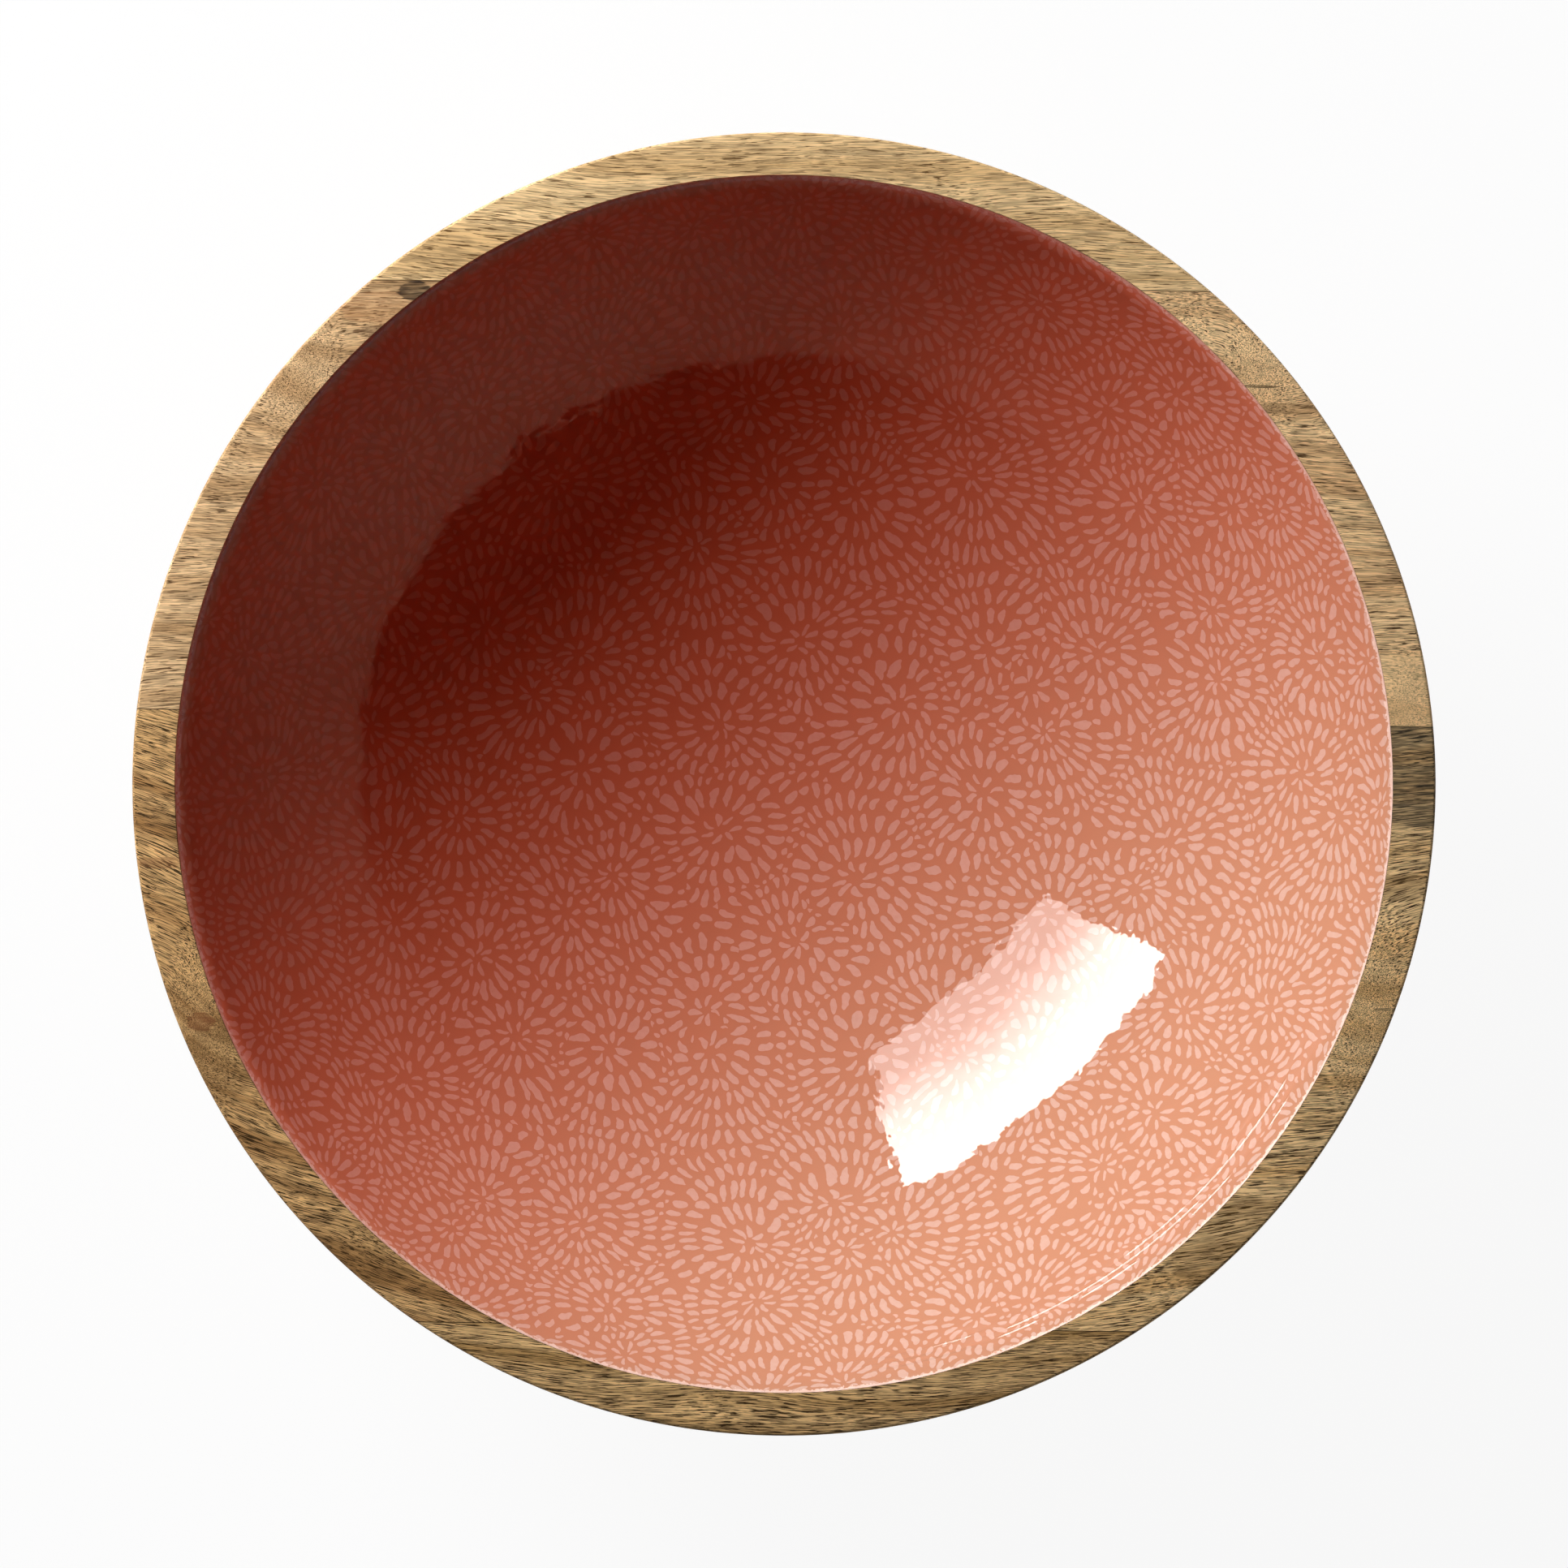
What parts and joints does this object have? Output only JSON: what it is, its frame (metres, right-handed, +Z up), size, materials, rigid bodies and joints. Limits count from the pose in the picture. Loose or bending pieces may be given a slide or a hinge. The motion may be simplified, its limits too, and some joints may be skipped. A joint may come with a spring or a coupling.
{
  "type": "wooden serving bowl",
  "caption": "Round shallow serving bowl turned from a glued blank of wooden boards, with a flat rim, a recessed foot and a glossy enamel lining printed with petal rosettes.",
  "frame": {"origin": "centre of the foot, on the surface that the bowl stands on", "axes": "+Z up along the bowl's axis, X along the grain of the boards, +Y to the back"},
  "size_m": [0.3, 0.3, 0.1],
  "materials": {
    "mango_wood": "oiled bare wood, straight grain with fine dark pores, smooth satin",
    "printed_enamel": "coral enamel with a paler petal print under a clear gloss coat"
  },
  "bodies": {
    "root": {"rim_back_board": "mango_wood", "rim_left_back_board": "mango_wood", "rim_right_back_board": "mango_wood", "rim_left_front_board": "mango_wood", "rim_right_front_board": "mango_wood", "rim_front_board": "mango_wood", "wall_back_board": "mango_wood", "wall_left_back_board": "mango_wood", "wall_right_back_board": "mango_wood", "wall_left_front_board": "mango_wood", "wall_right_front_board": "mango_wood", "wall_front_board": "mango_wood", "base_back_board": "mango_wood", "base_centre_board": "mango_wood", "base_front_board": "mango_wood", "enamel_lining": "printed_enamel"}
  },
  "joints": []
}
